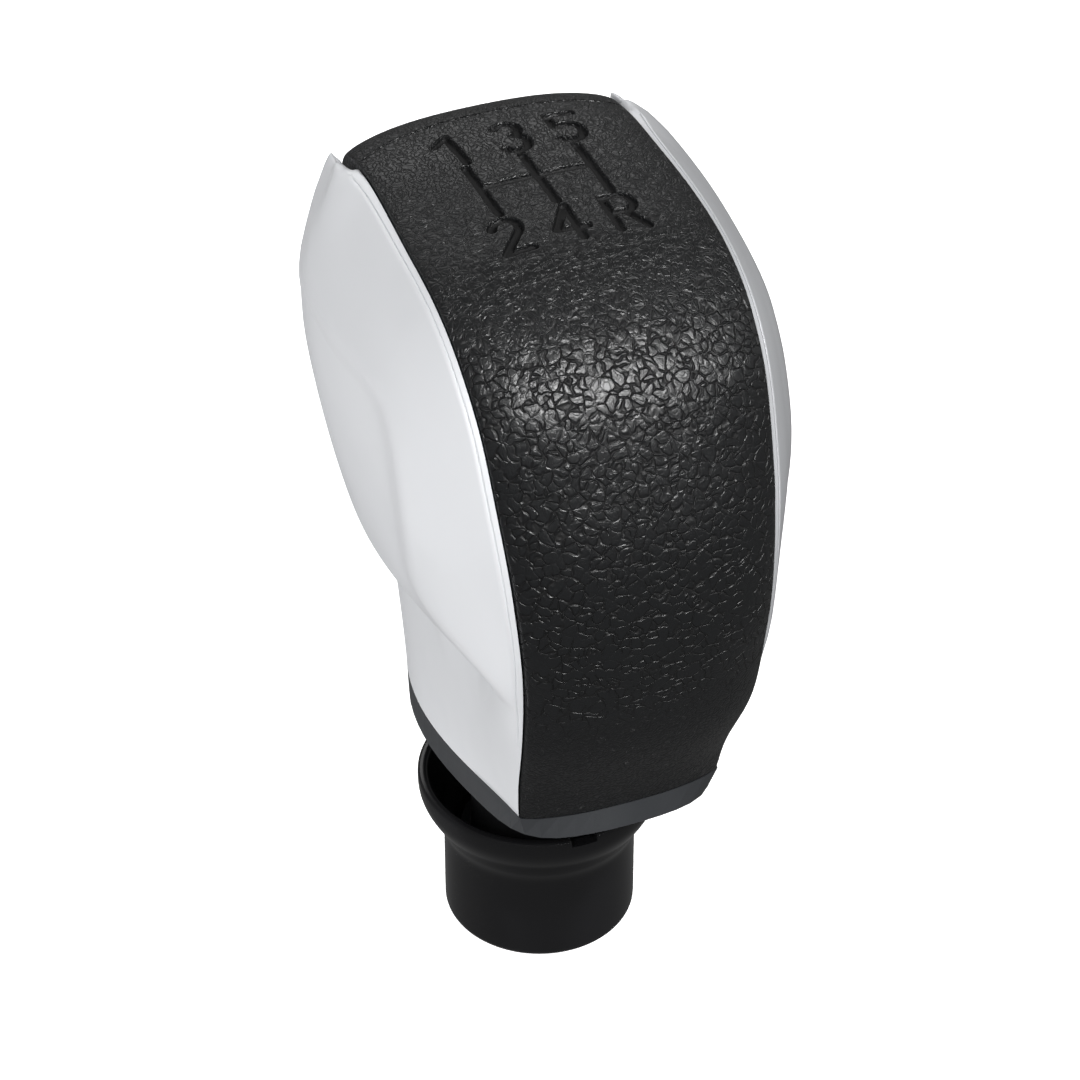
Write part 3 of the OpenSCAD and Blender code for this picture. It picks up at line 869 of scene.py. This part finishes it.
@dataclass
class SidePanels:
    """The two bright side shells, with a crisp crease between facet and flank and a bevelled lip.

    The stations of the crease repeat the ridge of the part's source, as shares of the head's
    half width, its reach in front of the lever or behind it, and its height over the foot.

    Attributes:
        ridge: The crease's stations, from the stem to the tip.
        half_width: Half width of the head.
        front_reach: Reach in front of the lever.
        back_reach: Reach behind it.
        foot_z: Height of the foot.
        head_h: Height of the head's top.
        heart: A place inside the head, y and z, from which the facet lies beyond the crease.
        proud: How far the crease stands out of the CAD's rounder ridge, in metres.
        facet_run: Width over which the facet rises to the crease.
        flank_run: Width over which the flank does.
        round_over: Radius of the crease's own rounding.
        fade_in: Stations between which the crease rises out of the stem.
        fade_out: Stations between which it sinks again before the tip.
        lip_within: Farthest the lip's inner edge lies from the plane of symmetry.
        lip_turns: Least and most turn of that edge, in degrees.
        groove_half: Half width of the fine groove along it.
        groove_deep: Depth of that groove.
        edges: Which of the panel's edges stay hard.
        levels: Steps of its refinement.
        fold_reach: Radius of the CAD's small fold at the tip.
        fold_steps: Steps that ease it before the mesh is refined.
        tip_reach: Radius of what is rounded at the tip afterwards.
        tip_steps: Steps that round it.
        NODES: The panels' nodes, left and right.
        STEPS: Points of the crease from one station to the next.
        OUTWARD: Least sideward share of the normal of what is raised.
    """

    NODES = ("left_panel", "right_panel")
    STEPS = 24
    OUTWARD = 0.05
    ridge: tuple[tuple[float, float, float], ...] = (
        (0.59, 0.66, 0.335), (0.66, 0.77, 0.362), (0.77, 0.64, 0.413), (0.85, 0.53, 0.476),
        (0.91, 0.55, 0.607), (0.91, 0.48, 0.727), (0.91, 0.38, 0.784), (0.93, 0.24, 0.807),
        (0.96, -0.08, 0.821), (0.94, -0.43, 0.849), (0.82, -0.61, 0.906), (0.71, -0.74, 0.946),
        (0.68, -0.83, 0.946))
    half_width: float = 23.117 * MM
    front_reach: float = 30.3 * MM
    back_reach: float = 20.8 * MM
    foot_z: float = 30.7 * MM
    head_h: float = 97.7 * MM
    heart: tuple[float, float] = (0.0, 62.0 * MM)
    proud: float = 0.55 * MM
    facet_run: float = 5.5 * MM
    flank_run: float = 2.6 * MM
    round_over: float = 0.5 * MM
    fade_in: tuple[float, float] = (1.0, 3.0)
    fade_out: tuple[float, float] = (10.0, 11.6)
    lip_within: float = 16.9 * MM
    lip_turns: tuple[float, float] = (18.0, 42.0)
    groove_half: float = 0.16 * MM
    groove_deep: float = 0.10 * MM
    edges: HardEdges = HardEdges(24.0, 16.0, 0.5)
    levels: int = 2
    fold_reach: float = 2.5 * MM
    fold_steps: int = 2
    tip_reach: float = 4.2 * MM
    tip_steps: int = 60

    def _station(self, share: tuple[float, float, float], side: float) -> Vector:
        """Place of one station on one panel.

        Args:
            share: The station's shares.
            side: -1 for the left panel, 1 for the right one.

        Returns:
            The place.
        """
        x, f, z = share
        reach = self.front_reach if f > 0 else self.back_reach
        return Vector((side * x * self.half_width, -f * reach,
                       self.foot_z + z * (self.head_h - self.foot_z)))

    def _curve(self, side: float) -> tuple[KDTree, list[Vector]]:
        """The crease of one panel as close points that can be searched.

        Args:
            side: -1 for the left panel, 1 for the right one.

        Returns:
            The search tree, and the points in order.
        """
        knots = [self._station(share, side) for share in self.ridge]
        last = len(knots) - 1
        points = []
        for i in range(last):
            a, b, c, d = (knots[max(i - 1, 0)], knots[i], knots[i + 1], knots[min(i + 2, last)])
            for k in range(self.STEPS):
                t = k / self.STEPS
                points.append(0.5 * (2 * b + (c - a) * t + (2 * a - 5 * b + 4 * c - d) * t * t
                                     + (3 * b - 3 * c + d - a) * t * t * t))
        tree = KDTree(len(points))
        for i, point in enumerate(points):
            tree.insert(point, i)
        tree.balance()
        return tree, points

    def _raise_crease(self, copy: NodeCopy, side: float) -> float:
        """Lets facet and flank rise to a crisp crease.

        Args:
            copy: The panel's refined copy.
            side: -1 for the left panel, 1 for the right one.

        Returns:
            The largest lift, in metres.
        """
        tree, points = self._curve(side)
        bm = bmesh.new()
        bm.from_mesh(copy.object.data)
        bm.normal_update()
        lifts = {}
        for vert in bm.verts:
            if vert.normal.x * side < self.OUTWARD:
                continue
            near, index, away = tree.find(vert.co)
            beyond = (math.hypot(vert.co.y - self.heart[0], vert.co.z - self.heart[1])
                      > math.hypot(near.y - self.heart[0], near.z - self.heart[1]))
            run = self.facet_run if beyond else self.flank_run
            along = index / self.STEPS
            risen, sunk = (share_between(along, *ends) for ends in (self.fade_in, self.fade_out))
            held = risen * (1.0 - sunk)
            eased = math.hypot(away, self.round_over) - self.round_over
            if eased < run and held > 0.0:
                lifts[vert] = (1.0 - eased / run) * held * self.proud
        for vert, lift in lifts.items():
            vert.co += vert.normal * lift
        bm.to_mesh(copy.object.data)
        bm.free()
        return max(lifts.values())

    def build(self, material: bpy.types.Material) -> None:
        """Makes both panels.

        Args:
            material: Their finish.
        """
        for node, side in zip(self.NODES, (-1.0, 1.0)):
            copy = NodeCopy(node, f"{node}_shell", Finish.PANEL)
            tip = self._station(self.ridge[-1], side)
            copy.ease(tip, self.fold_reach, self.fold_steps)
            grooved = copy.groove_edges(self.lip_turns, side, self.lip_within, self.groove_half,
                                        self.groove_deep)
            copy.crease(self.edges)
            copy.refine(self.levels)
            lift = self._raise_crease(copy, side)
            copy.ease(tip, self.tip_reach, self.tip_steps)
            LOG.info("%s: %d lip edges grooved, crease raised by %.2f mm", node, grooved, lift / MM)
            copy.stand_in("knob", material)


@dataclass
class CollarShell:
    """The collar with its flare and rim refined to a smooth turn.

    Attributes:
        edges: Which of its edges stay hard.
        levels: Steps of its refinement.
    """

    edges: HardEdges = HardEdges(30.0, 20.0, 0.7)
    levels: int = 1

    def build(self, material: bpy.types.Material) -> None:
        """Makes the collar.

        Args:
            material: Its finish.
        """
        copy = NodeCopy("gaiter_collar", "gaiter_collar_shell", Finish.COLLAR)
        copy.crease(self.edges)
        copy.refine(self.levels)
        copy.stand_in("collar", material)


class CadFinishes:
    """Finishes of the nodes that keep their CAD shape.

    Attributes:
        SLOTS: The finish of each node.
    """

    SLOTS = {
        "core_body": Finish.CORE,
        "foot_ring": Finish.RING,
        "foot_screws": Finish.SCREW,
        "lever_bush": Finish.BUSH,
        "spring_band": Finish.SPRING,
    }

    def dress(self, materials: dict[Finish, bpy.types.Material]) -> None:
        """Gives each node its material.

        Args:
            materials: The materials by slot.
        """
        for node, finish in self.SLOTS.items():
            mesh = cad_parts[node].data
            mesh.materials.clear()
            mesh.materials.append(materials[finish])
            LOG.info("%s takes %s", node, finish.value)


@dataclass(frozen=True)
class Softbox:
    """A soft area light, placed by where it stands around the knob.

    Attributes:
        name: The light's name.
        turn: Degrees round from the driver's side, positive to the right.
        rise: Degrees above the floor.
        away: Distance from the knob's middle, in metres.
        size: Width and height, in metres.
        watts: Its power.
        mirrored: Whether glossy surfaces show it.
    """

    name: str
    turn: float
    rise: float
    away: float
    size: tuple[float, float]
    watts: float
    mirrored: bool = True

    def hang(self, middle: Vector) -> None:
        """Hangs the light, facing the knob.

        Args:
            middle: The knob's middle.
        """
        data = bpy.data.lights.new(self.name, "AREA")
        data.shape = "RECTANGLE"
        data.size, data.size_y = self.size
        data.energy = self.watts
        lamp = bpy.data.objects.new(self.name, data)
        turn, rise = math.radians(self.turn), math.radians(self.rise)
        way = Vector((math.sin(turn) * math.cos(rise), -math.cos(turn) * math.cos(rise),
                      math.sin(rise)))
        lamp.location = middle + way * self.away
        lamp.rotation_euler = (-way).to_track_quat("-Z", "Y").to_euler()
        lamp.visible_camera = False
        lamp.visible_glossy = self.mirrored
        bpy.context.scene.collection.objects.link(lamp)


@dataclass
class Studio:
    """Pale floor that runs up into a backdrop, soft light and the photograph's camera.

    Attributes:
        place: The camera's place.
        tilt: Its turn about X, in degrees from straight down.
        turn: Its turn about Z, in degrees.
        lens: Focal length, in millimetres.
        floor_reach: Radius of the flat floor, in metres.
        wall_bend: Radius of the bend up into the backdrop.
        wall_height: Height of the backdrop.
        paper: Brightness of the floor's own colour.
        glow: Light that the floor gives of itself.
        air: Strength of the light from all round.
        middle: The knob's middle, which the lights face.
        lights: The lights.
        SENSOR: Width of the camera's sensor, in millimetres.
        BEND_STEPS: Straight pieces in the profile's bend.
        TURN_STEPS: Straight pieces in the turn of the profile.
    """

    SENSOR = 36.0
    BEND_STEPS = 8
    TURN_STEPS = 48
    place: tuple[float, float, float] = (-0.151206, -0.381470, 0.370876)
    tilt: float = 52.1094
    turn: float = -21.6335
    lens: float = 160.53
    floor_reach: float = 2.5
    wall_bend: float = 1.0
    wall_height: float = 4.0
    paper: float = 0.9
    glow: float = 0.85
    air: float = 0.13
    middle: Vector = field(default_factory=lambda: Vector((0.0, -0.004, 0.055)))
    lights: tuple[Softbox, ...] = (
        Softbox("belly_softbox", 19.0, 47.0, 0.8, (0.22, 0.22), 4.0),
        Softbox("back_softbox", 172.0, 32.0, 0.9, (0.8, 0.25), 1.0),
        Softbox("left_softbox", -34.0, 24.0, 0.8, (0.8, 0.7), 8.4, mirrored=False),
        Softbox("right_strip", 82.0, 22.0, 0.75, (0.3, 0.5), 0.2),
        Softbox("floor_bounce", -120.0, -40.0, 0.9, (0.6, 0.6), 7.5, mirrored=False),
        Softbox("back_fill", 180.0, 15.0, 0.9, (0.8, 0.8), 6.0, mirrored=False),
    )

    def camera(self) -> None:
        """Makes the camera and sets it as the scene's own."""
        data = bpy.data.cameras.new("photo_camera")
        data.sensor_width = self.SENSOR
        data.lens = self.lens
        data.clip_start = 0.01
        data.clip_end = 50.0
        camera = bpy.data.objects.new("photo_camera", data)
        camera.location = self.place
        camera.rotation_euler = (math.radians(self.tilt), 0.0, math.radians(self.turn))
        bpy.context.scene.collection.objects.link(camera)
        bpy.context.scene.camera = camera

    def backdrop(self) -> None:
        """Turns one profile into the floor and the backdrop round it."""
        mesh = bpy.data.meshes.new("studio_backdrop")
        bm = bmesh.new()
        bends = [math.radians(90.0 * i / self.BEND_STEPS) for i in range(self.BEND_STEPS + 1)]
        profile = [(0.0, 0.0)] + [(self.floor_reach + self.wall_bend * math.sin(a),
                                   self.wall_bend * (1.0 - math.cos(a))) for a in bends]
        profile.append((self.floor_reach + self.wall_bend, self.wall_height))
        verts = [bm.verts.new((x, 0.0, z)) for x, z in profile]
        edges = [bm.edges.new(pair) for pair in zip(verts, verts[1:])]
        bmesh.ops.spin(bm, geom=verts + edges, cent=(0, 0, 0), axis=(0, 0, 1), angle=math.tau,
                       steps=self.TURN_STEPS, use_merge=True)
        bmesh.ops.remove_doubles(bm, verts=bm.verts, dist=1e-5)
        bmesh.ops.recalc_face_normals(bm, faces=bm.faces)
        bm.to_mesh(mesh)
        bm.free()
        mesh.shade_smooth()
        backdrop = bpy.data.objects.new("studio_backdrop", mesh)
        bpy.context.scene.collection.objects.link(backdrop)
        backdrop.visible_diffuse = False
        backdrop.visible_glossy = False
        backdrop.visible_shadow = False
        material = bpy.data.materials.new("studio_paper")
        material.use_nodes = True
        shader = material.node_tree.nodes["Principled BSDF"]
        shader.inputs["Base Color"].default_value = (self.paper, self.paper, self.paper, 1.0)
        shader.inputs["Roughness"].default_value = 1.0
        shader.inputs["Specular IOR Level"].default_value = 0.0
        shader.inputs["Emission Color"].default_value = (1.0, 1.0, 1.0, 1.0)
        shader.inputs["Emission Strength"].default_value = self.glow
        mesh.materials.append(material)

    def build(self) -> None:
        """Sets up the studio."""
        self.camera()
        self.backdrop()
        world = bpy.data.worlds.new("studio_air")
        world.use_nodes = True
        background = world.node_tree.nodes["Background"]
        background.inputs["Color"].default_value = (1.0, 1.0, 1.0, 1.0)
        background.inputs["Strength"].default_value = self.air
        bpy.context.scene.world = world
        bpy.context.scene.view_settings.view_transform = "Standard"
        for light in self.lights:
            light.hang(self.middle)


def finishes(shelf: EffectShelf) -> dict[Finish, bpy.types.Material]:
    """Makes every finish.

    Args:
        shelf: The shared effects.

    Returns:
        The materials by slot.
    """
    recipes = [
        MouldedFinish(Finish.CORE, (0.03, 0.03, 0.032), (0.04, 0.04, 0.042), (0.5, 0.6),
                      bump=0.04 * MM),
        MouldedFinish(Finish.PANEL, (0.65, 0.66, 0.68), (0.62, 0.63, 0.65), (0.36, 0.44),
                      metal=0.2, bump=0.004 * MM),
        MouldedFinish(Finish.RING, (0.030, 0.032, 0.035), (0.037, 0.039, 0.042), (0.40, 0.50),
                      shine=0.55),
        MouldedFinish(Finish.SCREW, (0.6, 0.6, 0.57), (0.5, 0.5, 0.48), (0.3, 0.45), metal=1.0),
        MouldedFinish(Finish.BUSH, (0.012, 0.012, 0.013), (0.02, 0.02, 0.021), (0.42, 0.55),
                      bump=0.03 * MM, shine=0.35),
        MouldedFinish(Finish.SPRING, (0.42, 0.43, 0.45), (0.32, 0.33, 0.36), (0.25, 0.4),
                      metal=1.0),
        MouldedFinish(Finish.COLLAR, (0.006, 0.006, 0.0065), (0.009, 0.009, 0.010), (0.17, 0.26),
                      bump=0.006 * MM, shine=0.4),
    ]
    made = {recipe.slot: recipe.build(shelf) for recipe in recipes}
    made[Finish.SKIN] = SkinFinish().build(shelf)
    return made


def main() -> None:
    """Builds the studio and every piece."""
    logging.basicConfig(level=logging.INFO, format="%(message)s")
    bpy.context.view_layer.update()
    Studio().build()
    materials = finishes(EffectShelf())
    GrainedBand().build(materials[Finish.SKIN])
    SidePanels().build(materials[Finish.PANEL])
    CollarShell().build(materials[Finish.COLLAR])
    CadFinishes().dress(materials)
    bpy.context.view_layer.update()


if __name__ == "__main__":
    main()
